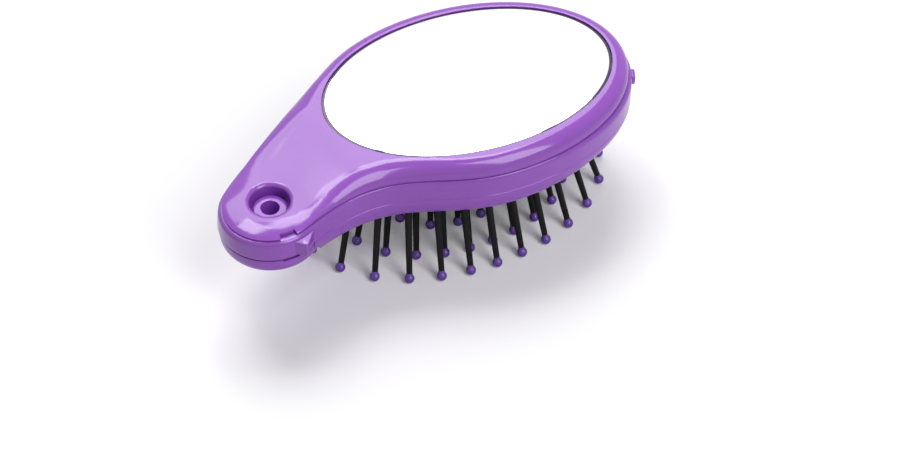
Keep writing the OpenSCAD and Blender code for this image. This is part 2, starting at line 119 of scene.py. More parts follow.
def on_arc(a):
    """Point and outward direction on the narrow end, which draws in towards the straight side."""
    u = min(max(1 - (a - straight_from) / trim_arc, 0), 1)
    r = neck_r - neck_trim * ease(u)
    growth = neck_trim * 6 * u * (1 - u) / math.radians(trim_arc)
    return on_circle(r, a), (on_circle(r, a) - on_circle(growth, a + 90)).normalized()


def spread(low, high, n):
    """n values from low towards high, without high itself."""
    return [low + (high - low) * k / n for k in range(n)]


# %% Stations: point, outward direction, and what each one faces
fin_at = -74
notch_from, notch_to = 360 + fin_at - 22, 360 + fin_at - 2
well_rim = 6.6
notch_step, notch_clear = 0.2, 0.9
seam_at, seam_n = 205, 12
hollow_seam, hollow_oval = 0.12, 0.36
straight_seam, straight_well = 0.42, 0.74
seam_ends = way_in * well_rim, on_oval(glass_at, mirror_a, mirror_b, seam_at)
seam = [seam_ends[0].lerp(seam_ends[1], k / seam_n) for k in range(seam_n + 1)]
stations = []


def add_stations(curve, low, high, kind, goals):
    """One station for each goal, spread between two shares of a curve."""
    for t, goal in zip(spread(low, high, len(goals)), goals):
        stations.append((*on_curve(curve, t), kind, goal))


arc_angles = [a for a in spread(straight_from, 360 + hollow_from, 60)
              if min(abs(a - notch_from), abs(a - notch_to)) > notch_clear]
arc_angles += [end + side for end in (notch_from, notch_to) for side in (-notch_step, notch_step)]
for a in sorted(arc_angles):
    stations.append((*on_arc(a), "well", a))
add_stations(hollow_curve, 0, hollow_seam, "well", spread(360 + hollow_from, 360 + lean_in, 20))
add_stations(hollow_curve, hollow_seam, hollow_oval, "seam", range(seam_n))
add_stations(hollow_curve, hollow_oval, 1, "oval", spread(seam_at, 270, 36))
for t in spread(270, 360 + straight_to, 96):
    spot = on_oval(centre, body_a, body_b, t)
    stations.append((spot, out_of_oval(body_a, body_b, t), "oval", t))
add_stations(straight_curve, 0, straight_seam, "oval", spread(straight_to, seam_at, 24))
add_stations(straight_curve, straight_seam, straight_well, "seam", range(seam_n, 0, -1))
add_stations(straight_curve, straight_well, 1, "well", spread(lean_in, straight_from, 26))


def grown(i, d):
    """Station i moved outwards by d."""
    return stations[i][0] + stations[i][1] * d


print("stations:", len(stations))

# %% [markdown]
# ## Rings
# A long moulded body is easiest as rings: one closed ring of edges is extruded, and the new ring
# is moved to its place. A whole number on each vertex remembers its station, so one rule can
# place a ring however many times it has been extruded. Flat faces with holes in them are filled
# at the end between all their loops.

# %% Helpers that make rings
MARK = "station"


def first_ring(bm, n, place):
    """A closed ring of n edges, placed by place(i)."""
    mark = bm.verts.layers.int.get(MARK) or bm.verts.layers.int.new(MARK)
    verts = bmesh.ops.create_circle(bm, segments=n, radius=1)["verts"]
    for i, v in enumerate(verts):
        v[mark] = i
        v.co = place(i)
    return [e for e in bm.edges if e.verts[0] in verts and e.verts[1] in verts]


def pull(bm, edges):
    """Extrudes a loop of edges; gives back the new vertices and the new loop."""
    made = bmesh.ops.extrude_edge_only(bm, edges=edges)["geom"]
    verts = {g for g in made if isinstance(g, bmesh.types.BMVert)}
    return verts, [g for g in made if isinstance(g, bmesh.types.BMEdge) and set(g.verts) <= verts]


def next_ring(bm, edges, place):
    """Extrudes a ring and places the new one by place(i); gives back its edges."""
    mark = bm.verts.layers.int[MARK]
    verts, loop = pull(bm, edges)
    for v in verts:
        v.co = place(v[mark])
    return loop


def fill(bm, *loops):
    """Fills a flat face between loops that lie in one level plane."""
    edges = [e for loop in loops for e in loop]
    bmesh.ops.triangle_fill(bm, use_beauty=True, edges=edges, normal=(0, 0, 1))


def oval_place(c, a, b, z, n, turned=0):
    """A level oval of n points, turned about its middle."""
    def place(i):
        p = on_oval(Vector((0, 0)), a, b, 360 * i / n)
        p.rotate(Matrix.Rotation(math.radians(turned), 2))
        return Vector((*(c + p), z))
    return place


# %% Helper that turns a bmesh into a piece
MM = 0.001
made_pieces = []


def new_mesh(name, bm):
    mesh = bpy.data.meshes.new(name)
    bm.to_mesh(mesh)
    bm.free()
    return mesh


def new_object(name, data):
    thing = bpy.data.objects.new(name, data)
    bpy.context.scene.collection.objects.link(thing)
    return thing


def finish_piece(bm, name, body, slot, nodes, sharp=32):
    """Metres, outward faces, smooth shading with the sharp edges kept, and its place on a body."""
    bmesh.ops.remove_doubles(bm, verts=bm.verts, dist=0.001)
    bmesh.ops.recalc_face_normals(bm, faces=bm.faces)
    bmesh.ops.scale(bm, vec=(MM, MM, MM), verts=bm.verts)
    open_edges = sum(e.is_boundary for e in bm.edges)
    mesh = new_mesh(name, bm)
    mesh.shade_smooth()
    mesh.set_sharp_from_angle(angle=math.radians(sharp))
    piece = new_object(name, mesh)
    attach(piece, body)
    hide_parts(*nodes)
    made_pieces.append((piece, slot))
    print(name, "faces:", len(mesh.polygons), "open edges:", open_edges)
    return piece


# %% [markdown]
# ## Frame of the mirror half
# A moulded comma with an upright wall, a wide soft edge and a face that rises from the narrow
# end to the mirror. The face has two holes, the mirror's recess and the pivot's well. A Boolean
# would leave slivers there that show in the gloss, so the rings themselves split: part of the
# stations run to the mirror, part to the well, and the rest meet along a seam between the two.

# %% Heights of the frame, and rules for its wall, soft edge and face
slide_z, frame_t, neck_t = 1.4, 4.8, 1.7
edge_r, side_h, nick = 3.7, 0.8, 0.25
side_z = slide_z + side_h
hub_r, tube_r, well_r, grip, seat_h = 6.4, 4.4, 5.3, 0.05, 0.7
cover_t, cover_lip, glass_t, tape_t, glass_sink, glass_gap = 1.2, 1.4, 1.3, 0.5, 0.3, 0.15
recess_z = slide_z + frame_t - glass_sink - glass_t - tape_t
notch_d = 1.4
dome_more, dome_drop = 2.4, 0.5
dome_falls = [(0.9, 1.6), (0.1, 12)]
neck_reach, neck_fade = 12, 16
rise_from, rise_run = 3, 23
room_least, room_share = 7, 0.3


def tip_at(i):
    """How much station i belongs to the wide tip, from 0 to 1."""
    return ease((stations[i][0].x - centre.x) / body_a)


def neck_at(i):
    """How much station i belongs to the narrow end, from 0 to 1."""
    return ease((neck_reach - stations[i][0].dot(way_in)) / neck_fade)


def face_z(p):
    """Height of the face over p: low round the pivot, full height at the mirror."""
    rise = ease((Vector(p[:2]).dot(way_in) - rise_from) / rise_run)
    return slide_z + neck_t + (frame_t - neck_t) * rise


def facing(i):
    """The spot on the inner edges that station i faces."""
    kind, goal = stations[i][2:]
    if kind == "well":
        return on_circle(well_rim, goal)
    return seam[goal] if kind == "seam" else on_oval(glass_at, mirror_a, mirror_b, goal)


def cut_back(i, inset):
    """The inset of station i, at least the notch's depth where the notch is."""
    in_notch = stations[i][2] == "well" and notch_from < stations[i][3] < notch_to
    return max(inset, notch_d) if in_notch else inset


def wall_place(inset, z):
    return lambda i: Vector((*grown(i, -cut_back(i, inset)), z))


def side_top(i):
    """Where the upright wall ends and the soft edge starts; lower at the domed narrow end."""
    return side_z - dome_drop * neck_at(i)


def wide_at(i):
    """Width of the soft edge: more at the narrow end, and where there is room beside the hollow."""
    room = (stations[i][0] - facing(i)).length
    beside_hollow = min(dome_more, room_share * (room - room_least))
    return edge_r + max(dome_more * neck_at(i), beside_hollow, 0)


def edge_place(f):
    """The soft edge: a quarter of an oval, and a shallow dome at the narrow end."""
    def place(i):
        wide = wide_at(i)
        u = math.cos(f)
        dome = 1 - sum(share * u**power for share, power in dome_falls)
        rise = math.sin(f) + (dome - math.sin(f)) * neck_at(i)
        inset = cut_back(i, wide * (1 - u))
        low = side_top(i)
        return Vector((*grown(i, -inset), low + (face_z(grown(i, -wide)) - low) * rise))
    return place


def face_place(f):
    """The face, a share f of the way from the soft edge to the spot that a station faces."""
    def place(i):
        p = grown(i, -wide_at(i)).lerp(facing(i), f)
        return Vector((*p, face_z(p)))
    return place


# %% Wall, soft edge and face of the frame
bm = bmesh.new()
n = len(stations)
foot_r = 0.12
low_loop = first_ring(bm, n, wall_place(foot_r, slide_z))
loop = next_ring(bm, low_loop, wall_place(foot_r / 3, slide_z + foot_r / 3))
loop = next_ring(bm, loop, wall_place(0, slide_z + foot_r))
loop = next_ring(bm, loop, lambda i: Vector((*grown(i, -cut_back(i, 0)), side_top(i))))
for k in range(1, 13):
    loop = next_ring(bm, loop, edge_place(math.radians(90) * k / 12))
for k in range(1, 13):
    loop = next_ring(bm, loop, face_place(k / 12))
inner_ends = list(dict.fromkeys(v for e in loop for v in e.verts))
bmesh.ops.remove_doubles(bm, verts=inner_ends, dist=0.01)


def round_pivot(e):
    return all(v.co.xy.length < well_rim + 0.2 for v in e.verts)


outer_edges = set(low_loop)
rims = [e for e in bm.edges if e.is_boundary and e not in outer_edges]
well_loop = [e for e in rims if round_pivot(e)]
mirror_loop = [e for e in rims if not round_pivot(e)]
print("well loop:", len(well_loop), "mirror loop:", len(mirror_loop))

# %% The mirror's recess and the pivot's well
seat_z, seat_clear = slide_z + seat_h, 0.02
for inward, down in [(0.1, 0.03), (0.07, 0.1), (0, None)]:
    verts, mirror_loop = pull(bm, mirror_loop)
    for v in verts:
        away = v.co.xy - glass_at
        out = Vector((away.x / mirror_a**2, away.y / mirror_b**2)).normalized()
        v.co.xy = v.co.xy - out * inward
        v.co.z = recess_z if down is None else v.co.z - down
fill(bm, mirror_loop)


def round_ring(bm, loop, r, height):
    """Extrudes a loop to radius r about the pivot; height(way) is its height in each direction."""
    verts, loop = pull(bm, loop)
    for v in verts:
        way = v.co.xy.normalized()
        v.co = (*(way * r), height(way))
    return loop


for r, down in [(6.4, 0.03), (6.1, 0.1), (5.84, 0.22), (5.62, 0.38), (5.44, 0.58), (5.34, 0.8)]:
    well_loop = round_ring(bm, well_loop, r,
                           lambda way: max(face_z(way * well_rim) - down, seat_z + seat_clear))
for r, z in [(well_r, seat_z), (hub_r + grip, seat_z), (hub_r + grip, slide_z)]:
    well_loop = round_ring(bm, well_loop, r, lambda way: z)

# %% The underside, with the seat of the back cover and the stop lug
seat_n = 144
lug_in, lug_out, lug_from, lug_to = 9.8, 11.2, 143, 157
lug_low, lug_high, lug_steps = slide_z - 1, slide_z + 0.4, 8


def seat_place(z):
    return oval_place(glass_at, mirror_a + cover_lip, mirror_b + cover_lip, z, seat_n)


seat_loop = first_ring(bm, seat_n, seat_place(slide_z))
fill(bm, next_ring(bm, seat_loop, seat_place(slide_z + cover_t)))
fill(bm, low_loop, well_loop, seat_loop)
corners = [(lug_in, lug_low), (lug_out, lug_low), (lug_out, lug_high), (lug_in, lug_high)]
lug = bm.faces.new([bm.verts.new((*on_circle(r, lug_from), z)) for r, z in corners])
bmesh.ops.spin(bm, geom=[lug, *lug.edges, *lug.verts], axis=(0, 0, 1), cent=(0, 0, 0),
               angle=math.radians(lug_to - lug_from), steps=lug_steps, use_duplicate=False)
finish_piece(bm, "frame_body", "mirror_half", "purple_gloss", ["mirror_frame"])

# %% [markdown]
# ## Oval plates
# The mirror is a glass plate with a narrow ground bevel, and the back cover is a moulded oval
# plate. They could be rings too, but such a plate has the same section all round, so both start
# as a filled circle that is scaled to an oval, extruded to its thickness and bevelled. The
# mirror's bevel is then drawn in, because a ground one is far wider than it is deep.

# %% A helper for oval plates, the mirror and the back cover
def oval_plate(name, a, b, z, thick, bevel, segments, slot, node, ground=None):
    """ground gives the depth of a ground bevel, and how much further in than bevel it reaches."""
    bm = bmesh.new()
    bmesh.ops.create_circle(bm, cap_ends=True, segments=160, radius=1)
    top = bmesh.ops.extrude_face_region(bm, geom=list(bm.faces))["geom"]
    bmesh.ops.translate(bm, vec=(0, 0, thick),
                        verts=[g for g in top if isinstance(g, bmesh.types.BMVert)])
    bmesh.ops.scale(bm, vec=(a, b, 1), verts=bm.verts)
    bmesh.ops.recalc_face_normals(bm, faces=bm.faces)
    rim = [e for e in bm.edges if all(v.co.z > thick / 2 for v in e.verts)]
    bmesh.ops.bevel(bm, geom=rim, offset=bevel, offset_type="OFFSET", affect="EDGES",
                    segments=segments, profile=0.5, material=-1)
    if ground:
        deep, further_in = ground
        for v in bm.verts:
            if v.co.z > thick - bevel / 2:
                v.co.xy = v.co.xy * (1 - further_in / v.co.xy.length)
            elif v.co.z > thick / 2:
                v.co.z = thick - deep
    bmesh.ops.translate(bm, vec=(*glass_at, z), verts=bm.verts)
    finish_piece(bm, name, "mirror_half", slot, [node], sharp=5)


glass_lip = 0.2
plate_a, plate_b = mirror_a - glass_lip - glass_gap, mirror_b - glass_lip - glass_gap
cover_a, cover_b = mirror_a + cover_lip - grip, mirror_b + cover_lip - grip
oval_plate("mirror_plate", plate_a, plate_b, recess_z + tape_t, glass_t, 0.3, 1,
           "mirror", "mirror_glass", ground=(0.14, 0.8))
oval_plate("cover_plate", cover_a, cover_b, slide_z, cover_t, 0.3, 2,
           "purple_gloss", "back_cover")

# %% [markdown]
# ## Turned pieces
# The hub and the cap are round about the pivot, as if turned on a lathe. They could be rings,
# but a profile spun through a full turn shows at a glance what their section is. The cap's notch
# beside the fin is made afterwards by moving the rim's vertices in.

# %% Hub and cap
run_gap, face_gap = 0.05, 0.2
shell_top = slide_z - face_gap
tongue_t = 6.5
shell_foot = slide_z - tongue_t
cap_r, cap_h, hole_r = 13.7, 6.6, 2.5
cap_top = shell_foot - face_gap
cap_foot = cap_top - cap_h
tube_top, tube_rise = 0.2, 1.2
well_floor = tube_top - tube_rise


def turned(profile, steps):
    """A closed profile of (radius, height) spun once about the pivot."""
    bm = bmesh.new()
    verts = [bm.verts.new((r, 0, z)) for r, z in profile]
    edges = [bm.edges.new((verts[k - 1], verts[k])) for k in range(len(verts))]
    bmesh.ops.spin(bm, geom=verts + edges, axis=(0, 0, 1), cent=(0, 0, 0), angle=math.tau,
                   steps=steps, use_merge=True)
    bmesh.ops.remove_doubles(bm, verts=bm.verts, dist=0.0005)
    return bm


bm = turned([(tube_r + grip, cap_top), (hub_r, cap_top), (hub_r, seat_z), (well_r, seat_z),
             (well_r, well_floor), (tube_r + grip, well_floor)], 120)
finish_piece(bm, "hub", "mirror_half", "purple_gloss", ["pivot_hub"])

# %% The cap, with the pivot's open tube
cap_round, cap_crown, mouth_r = 4.0, 0.4, 3
spring_out, spring_in, spring_d = 11.5, 7, 1.2
crown_w = cap_r - cap_round - mouth_r
crown_line = [(mouth_r + crown_w * k / 6, cap_foot + cap_crown * (k / 6)**2) for k in range(1, 6)]
outer_line = [(cap_r - cap_round * (1 - sind(9 * k)),
               cap_foot + cap_crown + cap_round * (1 - cosd(9 * k))) for k in range(11)]
rim_line = [(0, 0.85), (0, 0.8), (0, 0.6), (0.1, 0.42), (0.35, 0.3), (notch_d + 0.1, 0.3)]
tube_line = [(0, 0.2), (0.06, 0.06), (0.2, 0)]
profile = [(hole_r, tube_top - 0.15), (hole_r, cap_foot + 0.5), (2.65, cap_foot + 0.15),
           (mouth_r, cap_foot)]
profile += crown_line + outer_line
profile += [(cap_r - inward, cap_top - down) for inward, down in rim_line]
profile += [(spring_out, cap_top), (spring_out, cap_top - spring_d),
            (spring_in, cap_top - spring_d), (spring_in, cap_top), (tube_r, cap_top)]
profile += [(tube_r - inward, tube_top - down) for inward, down in tube_line]
profile += [(hole_r + 0.2, tube_top), (hole_r + 0.05, tube_top - 0.04)]
bm = turned(profile, 180)
notch_blend, notch_low, notch_band = 1.5, 0.81, 0.5
for v in bm.verts:
    way = 360 + math.degrees(math.atan2(v.co.y, v.co.x))
    if (notch_from + notch_blend < way < notch_to - notch_blend
            and v.co.z > cap_top - notch_low and v.co.xy.length > cap_r - notch_band):
        v.co.xy = v.co.xy.normalized() * (cap_r - notch_d)
finish_piece(bm, "cap", "mirror_half", "purple_gloss", ["pivot_cap"])

# %% [markdown]
# ## Shell of the brush half
# The lower half's outer skin swells a little below the parting line, most at its two ends. Its
# rings follow the same stations. The fin beside the pivot and the tab on the tip are moulded on:
# each is a small bevelled block that runs into the wall.

# %% Rules of the shell
swell, end_swell, shoulder_h, tongue_edge = 0.59, 0.48, 1.4, 0.5
cushion_a, cushion_b, cushion_turn = 38.8, 25.2, 4
middle = centre - Vector((5.5, 0))
flange_w, flange_gap, roof_t, widen_arc = 1.2, 0.1, 1.8, 24
bush_r = hub_r + run_gap + 0.8
slip_r = bush_r + 1.9
roof_z = shell_top - roof_t


def swell_at(i):
    return swell + end_swell * max(neck_at(i), tip_at(i))


def quarter(t):
    """Rises from 0 to 1 like a quarter circle."""
    return math.sqrt(max(0, 1 - (1 - min(max(t, 0), 1))**2))


def widened(i, z):
    """The tongue widens downwards, until its narrow end has its full radius."""
    a = stations[i][3]
    if stations[i][2] != "well" or not straight_from <= a < straight_from + trim_arc:
        return 0
    trim = neck_trim * ease(1 - (a - straight_from) / trim_arc)
    return trim * (shell_top - z) / tongue_t * ease((a - straight_from) / widen_arc)


def shell_place(inset, z):
    shoulder = quarter((shell_top - z) / shoulder_h)
    under = 1 - quarter((z - shell_foot) / tongue_edge)

    def place(i):
        d = -inset + shoulder * swell_at(i) - under * tongue_edge * neck_at(i) + widened(i, z)
        return Vector((*grown(i, d), z))
    return place


# %% Wall, top and underside of the shell
bm = bmesh.new()
low_loop = first_ring(bm, n, shell_place(nick / 2, shell_foot))
loop = low_loop
for up in (0.05, 0.12, 0.2, 0.3, 0.4, tongue_edge, 2.5):
    loop = next_ring(bm, loop, shell_place(0, shell_foot + up))
for down in (3, 1.8, 1.4, 1.15, 0.9, 0.68, 0.48, 0.32, 0.19, 0.09, 0.03):
    loop = next_ring(bm, loop, shell_place(0, shell_top - down))
top_loop = next_ring(bm, loop, shell_place(nick, shell_top))

round_n, groove_from, groove_to = 120, 141, 339
groove_out, groove_in, groove_z, tiny, slip_d = 11.5, 9.5, 0.1, 0.01, 0.6


def groove_place(r, z, deep=None):
    """A ring about the pivot that drops to deep within the stop groove."""
    def place(i):
        a = 360 * i / round_n
        drops = deep is not None and groove_from < a < groove_to
        return Vector((*on_circle(r, a), deep if drops else z))
    return place


def pad_place(d, z, count):
    """The cushion's outline, moved outwards by d."""
    return oval_place(middle, cushion_a + d, cushion_b + d, z, count, cushion_turn)


loop = first_ring(bm, round_n, groove_place(groove_out + 0.1, shell_top))
fill(bm, top_loop, loop)
for r, down, deep in [(groove_out, 0, None), (groove_out - tiny, tiny, groove_z),
                      (groove_in, tiny, groove_z), (groove_in - tiny, 0, None),
                      (slip_r, 0, None), (slip_r, slip_d, None), (bush_r, slip_d, None)]:
    loop = next_ring(bm, loop, groove_place(r, shell_top - down, deep))
loop = next_ring(bm, loop, groove_place(bush_r, shell_foot))
pocket_n = 144
pocket = first_ring(bm, pocket_n, pad_place(flange_w + flange_gap, shell_foot, pocket_n))
fill(bm, next_ring(bm, pocket, pad_place(flange_w + flange_gap, roof_z, pocket_n)))
fill(bm, low_loop, loop, pocket)

# %% The fin and the tab
catch_down = 1
fin_up, fin_out, fin_start, fin_ramp, fin_back = 0.7, 3.6, 0.4, 12, 18
ramp_n, ramp_power = 8, 1.6
fin_line = [(-2, -fin_ramp - 2), (0.3, -fin_ramp - 2)]
fin_line += [(fin_start + (fin_out - fin_start) * (k / ramp_n)**ramp_power,
              fin_ramp * (k / ramp_n - 1)) for k in range(ramp_n + 1)]
fin_line += [(fin_out, 1.5), (1.2, fin_back), (-2, fin_back)]


def add_block(bm, line, z0, z1, bevel):
    """A prism over a flat line of points, with its edges bevelled."""
    base = bm.faces.new([bm.verts.new((*p, z0)) for p in line])
    top = bmesh.ops.extrude_face_region(bm, geom=[base])["geom"]
    verts = [g for g in top if isinstance(g, bmesh.types.BMVert)]
    bmesh.ops.translate(bm, vec=(0, 0, z1 - z0), verts=verts)
    faces = {f for v in verts for f in v.link_faces} | {base}
    bmesh.ops.recalc_face_normals(bm, faces=list(faces))
    edges = {e for f in faces for e in f.edges if e.calc_face_angle(0) > math.radians(25)}
    bmesh.ops.bevel(bm, geom=list(edges), offset=bevel, offset_type="OFFSET", affect="EDGES",
                    segments=3, profile=0.5, material=-1)


add_block(bm, [on_circle(neck_r + out, fin_at + turn) for out, turn in fin_line],
          shell_foot + fin_up, shell_top - catch_down, 0.25)
tab_angle, tab_l, tab_h, tab_out = -13.5, 3.2, 3, 0.9
tab_spot = on_oval(centre, body_a, body_b, tab_angle)
tab_way = out_of_oval(body_a, body_b, tab_angle)
tab_side = Vector((-tab_way.y, tab_way.x)) * tab_l / 2
tab_end = tab_spot + tab_way * (swell + end_swell + tab_out)
tab_root = tab_spot - tab_way
add_block(bm, [tab_root - tab_side, tab_end - tab_side, tab_end + tab_side, tab_root + tab_side],
          shell_top - catch_down - tab_h, shell_top - catch_down, 0.35)
finish_piece(bm, "shell", "brush_half", "purple_gloss", ["brush_shell"])

# %% [markdown]
# ## Bezel
# The lowest purple band holds the cushion, and its side rounds under to the cushion's opening.
# Its narrow end makes way for the cap that turns there: it is hollowed to follow the cap, and cut
# straight beside it. Moving stations inwards would smear that end over many rings, so the closed
# ring is cut by a drum and a slanted block with Boolean modifiers, which leave it crisp.

# %% Rings of the bezel
bezel_top = shell_foot - 0.02
bezel_foot = bezel_top - 6.5
under_r, tip_round, lip_h = 2.2, 2.4, 1.4


def bezel_place(h, extra=0):
    """Ring at height h above the bezel's foot."""
    round_under = under_r * (1 - math.sqrt(1 - (1 - min(h / 2.6, 1))**2 * 0.99))
    tip_share = max(0, 1 - h / 4.4)**2

    def place(i):
        d = -round_under + ease((h - 1) / 4.6) * swell_at(i) - tip_share * tip_round * tip_at(i) - extra
        return Vector((*grown(i, d), bezel_foot + h))
    return place


bm = bmesh.new()
low_loop = first_ring(bm, n, bezel_place(0))
loop = low_loop
for h in [0.05, 0.15, 0.3, 0.5, 0.8, 1.2, 1.7, 2.2, 2.8, 3.4, 4, 4.6, 5.2, 5.8, 6.38]:
    loop = next_ring(bm, loop, bezel_place(h))
top_loop = next_ring(bm, loop, bezel_place(6.5, nick / 2))
opening = first_ring(bm, pocket_n, pad_place(0.35, bezel_foot, pocket_n))
fill(bm, low_loop, opening)
loop = opening
flange_room = flange_w + flange_gap
for d, up in [(0.15, 0.08), (0.06, 0.3), (0.06, lip_h), (flange_room, lip_h)]:
    loop = next_ring(bm, loop, pad_place(d, bezel_foot + up, pocket_n))
loop = next_ring(bm, loop, pad_place(flange_room, bezel_top, pocket_n))
fill(bm, top_loop, loop)
bezel = finish_piece(bm, "bezel", "brush_half", "purple_gloss", ["brush_bezel"])

# %% Cut the bezel's narrow end
drum_gap, drum_h = 0.12, 20
block_from, block_lean, block_l = 2.4, 9, 80
drum_r = (cap_r + drum_gap) * MM
drum = bmesh.new()
bmesh.ops.create_cone(drum, cap_ends=True, segments=180, radius1=drum_r, radius2=drum_r,
                      depth=drum_h * MM)
bmesh.ops.translate(drum, vec=(0, 0, bezel_foot * MM), verts=drum.verts)
block = bmesh.new()
bmesh.ops.create_cube(block, size=block_l * MM)
bmesh.ops.translate(block, vec=((block_from - block_l / 2) * MM, 0, bezel_foot * MM),
                    verts=block.verts)
bmesh.ops.rotate(block, matrix=Matrix.Rotation(math.radians(lean_in + block_lean), 3, "Z"),
                 cent=(0, 0, 0), verts=block.verts)
cutters = [new_object("cutter", new_mesh("cutter", shape)) for shape in (drum, block)]
for cutter in cutters:
    cut = bezel.modifiers.new("cut", "BOOLEAN")
    cut.operation = "DIFFERENCE"
    cut.solver = "EXACT"
    cut.object = cutter
bpy.context.view_layer.update()
cut_bezel = bezel.evaluated_get(bpy.context.evaluated_depsgraph_get())
cut_mesh = bpy.data.meshes.new_from_object(cut_bezel)
bezel.modifiers.clear()
bezel.data = cut_mesh
cut_mesh.shade_smooth()
cut_mesh.set_sharp_from_angle(angle=math.radians(32))
for cutter in cutters:
    bpy.data.objects.remove(cutter)
print("bezel after the cuts:", len(cut_mesh.polygons), "faces")

# %% [markdown]
# ## Cushion
# A moulded rubber dome that the bezel's lip holds by its flange. It is air-filled, so it bulges
# evenly between its pins and is drawn in along its edge. A sewn pad would be simulated as cloth,
# but this is stiff moulded rubber, so it is lofted in rings that close up towards its edge, and a
# small turned collar stands round each pin.

# %% Dome and collars
cushion_edge = bezel_foot + lip_h * 0.4
pad_top = bezel_foot + lip_h + 1.5
crown = 3.2
pad_n = 96


def crown_z(s):
    return cushion_edge - crown * math.sqrt(max(0, 1 - s * s))


def dome_place(s, z):
    return oval_place(middle, cushion_a * s - 0.05, cushion_b * s - 0.05, z, pad_n, cushion_turn)


bm = bmesh.new()
loop = first_ring(bm, pad_n, dome_place(0.04, crown_z(0.04)))
bmesh.ops.contextual_create(bm, geom=loop)
for s in [0.1, 0.17, 0.24, 0.31, 0.38, 0.45, 0.52, 0.59, 0.66, 0.72, 0.78,
          0.83, 0.88, 0.92, 0.95, 0.975, 0.99]:
    loop = next_ring(bm, loop, dome_place(s, crown_z(s)))
loop = next_ring(bm, loop, dome_place(1, cushion_edge))
loop = next_ring(bm, loop, dome_place(1, bezel_foot + lip_h - 0.05))
for d, z in [(flange_w, bezel_foot + lip_h), (flange_w, pad_top)]:
    loop = next_ring(bm, loop, pad_place(d, z, pad_n))
bmesh.ops.contextual_create(bm, geom=loop)

pin_edge, pin_drop, pin_r, pin_end_r, ball_r, lean = 2.7, 24.6, 1.05, 0.8, 1.4, 19
root_a, root_b = cushion_a - pin_edge, cushion_b - pin_edge
even = 90 / math.pi * (root_a - root_b) / (root_a + root_b)
pin_rings = {"outer_ring": (1, 26, 0.45), "second_ring": (0.75, 22, 0.8), "third_ring": (0.42, 12, 0.5),
             "middle": (0.14, 4, 0.5)}


def pin_places(ring):
    """For each pin: the matrix that stands it in place, its length, and the crown's height there."""
    size, count, phase = pin_rings[ring]
    for i in range(count):
        turn = 360 * (i + phase) / count
        t = turn + even * sind(2 * turn)
        p = on_oval(Vector((0, 0)), root_a * size, root_b * size, t)
        way = math.atan2(sind(t) / root_b, cosd(t) / root_a)
        leaning = math.radians(lean * size)
        stand = (Matrix.Translation((*middle, 0)) @ Matrix.Rotation(math.radians(cushion_turn), 4, "Z")
                 @ Matrix.Translation((*p, pad_top)) @ Matrix.Rotation(way, 4, "Z")
                 @ Matrix.Rotation(-leaning, 4, "Y"))
        share = math.hypot(p.x / cushion_a, p.y / cushion_b)
        yield stand, pin_drop / math.cos(leaning), (pad_top - crown_z(share)) / math.cos(leaning)


def add_turned(bm, profile, sides, stand):
    """Spins an open profile that starts and ends on its axis, and stands it in place."""
    verts = [bm.verts.new((r, 0, z)) for r, z in profile]
    edges = [bm.edges.new(pair) for pair in zip(verts, verts[1:])]
    bmesh.ops.spin(bm, geom=verts + edges, axis=(0, 0, 1), cent=(0, 0, 0), angle=math.tau,
                          steps=sides, use_merge=True)
    around = {v for v in bm.verts if not v.tag}
    bmesh.ops.transform(bm, matrix=stand, verts=list(around))
    for v in around:
        v.tag = True


collar = [(0, 0.6), (2.1, 0.45), (1.95, -0.05), (1.6, -0.35), (1.3, -0.7), (1.14, -1), (0, -0.95)]
for v in bm.verts:
    v.tag = True
for ring in pin_rings:
    for stand, length, depth in pin_places(ring):
        add_turned(bm, [(r, up - depth) for r, up in collar], 20, stand)
cushion = finish_piece(bm, "cushion_dome", "brush_half", "cushion_rubber", ["cushion"], sharp=50)

# %% [markdown]
# ## Pins and ball tips
# Each pin is a tapered shaft that leans outwards, more in the outer rings, and ends in a dipped
# ball that keeps it from scratching. Copies of one pin would do, but the outer ones have to be
# longer to reach the same level, so a profile is spun for every pin and stood in its place.

# %% Pins and balls
foot_w = 1.6
pin_foot = [(0, -0.1), (foot_w, -0.1), (foot_w, -0.55), (pin_r, -0.7)]
shaft = [(pin_r, 0.5), (pin_r * 0.97, 3), ((pin_r + pin_end_r) / 2 + 0.02, 8)]
pin_end = [(pin_end_r + 0.03, 2.4), (pin_end_r, 1), (0, 0.4)]
ball = [(0, -ball_r)] + [(ball_r * sind(a), ball_r * cosd(a)) for a in range(168, 45, -12)]
ball += [(0.93, 1.2), (0.86, 1.6), (0.8, 1.75), (0, 1.7)]


def pin_profile(length, depth):
    return (pin_foot + [(r, -depth - down) for r, down in shaft]
            + [(r, up - length) for r, up in pin_end])


def ball_profile(length, depth):
    return [(r, up - length) for r, up in ball]


for kind, nodes, slot, sharp, profile in [
        ("pins_", "pins_", "black_plastic", 40, pin_profile),
        ("balls_", "tips_", "ball_tips", 60, ball_profile)]:
    for ring in pin_rings:
        bm = bmesh.new()
        for stand, length, depth in pin_places(ring):
            add_turned(bm, profile(length, depth), 24, stand)
        finish_piece(bm, kind + ring.replace("_ring", ""), "brush_half", slot, [nodes + ring],
                     sharp=sharp)

# %% [markdown]
# ## Finishes
# The plastic is self-coloured and polished, so its look comes from reflections that a very fine
# unevenness breaks up. Three effects are used by several finishes, so each is a node group:
# the moulded skin, the hairline marks of handling, and a little dust.

# %% Helpers for node groups and materials
def new_group(name, inputs, outputs):
    """A node group with number inputs and outputs, and its input and output nodes."""
    group = bpy.data.node_groups.new(name, "ShaderNodeTree")
    for title, value in inputs.items():
        group.interface.new_socket(title, in_out="INPUT", socket_type="NodeSocketFloat").default_value = value
    for title in outputs:
        group.interface.new_socket(title, in_out="OUTPUT", socket_type="NodeSocketFloat")
    return group, group.nodes.new("NodeGroupInput"), group.nodes.new("NodeGroupOutput")


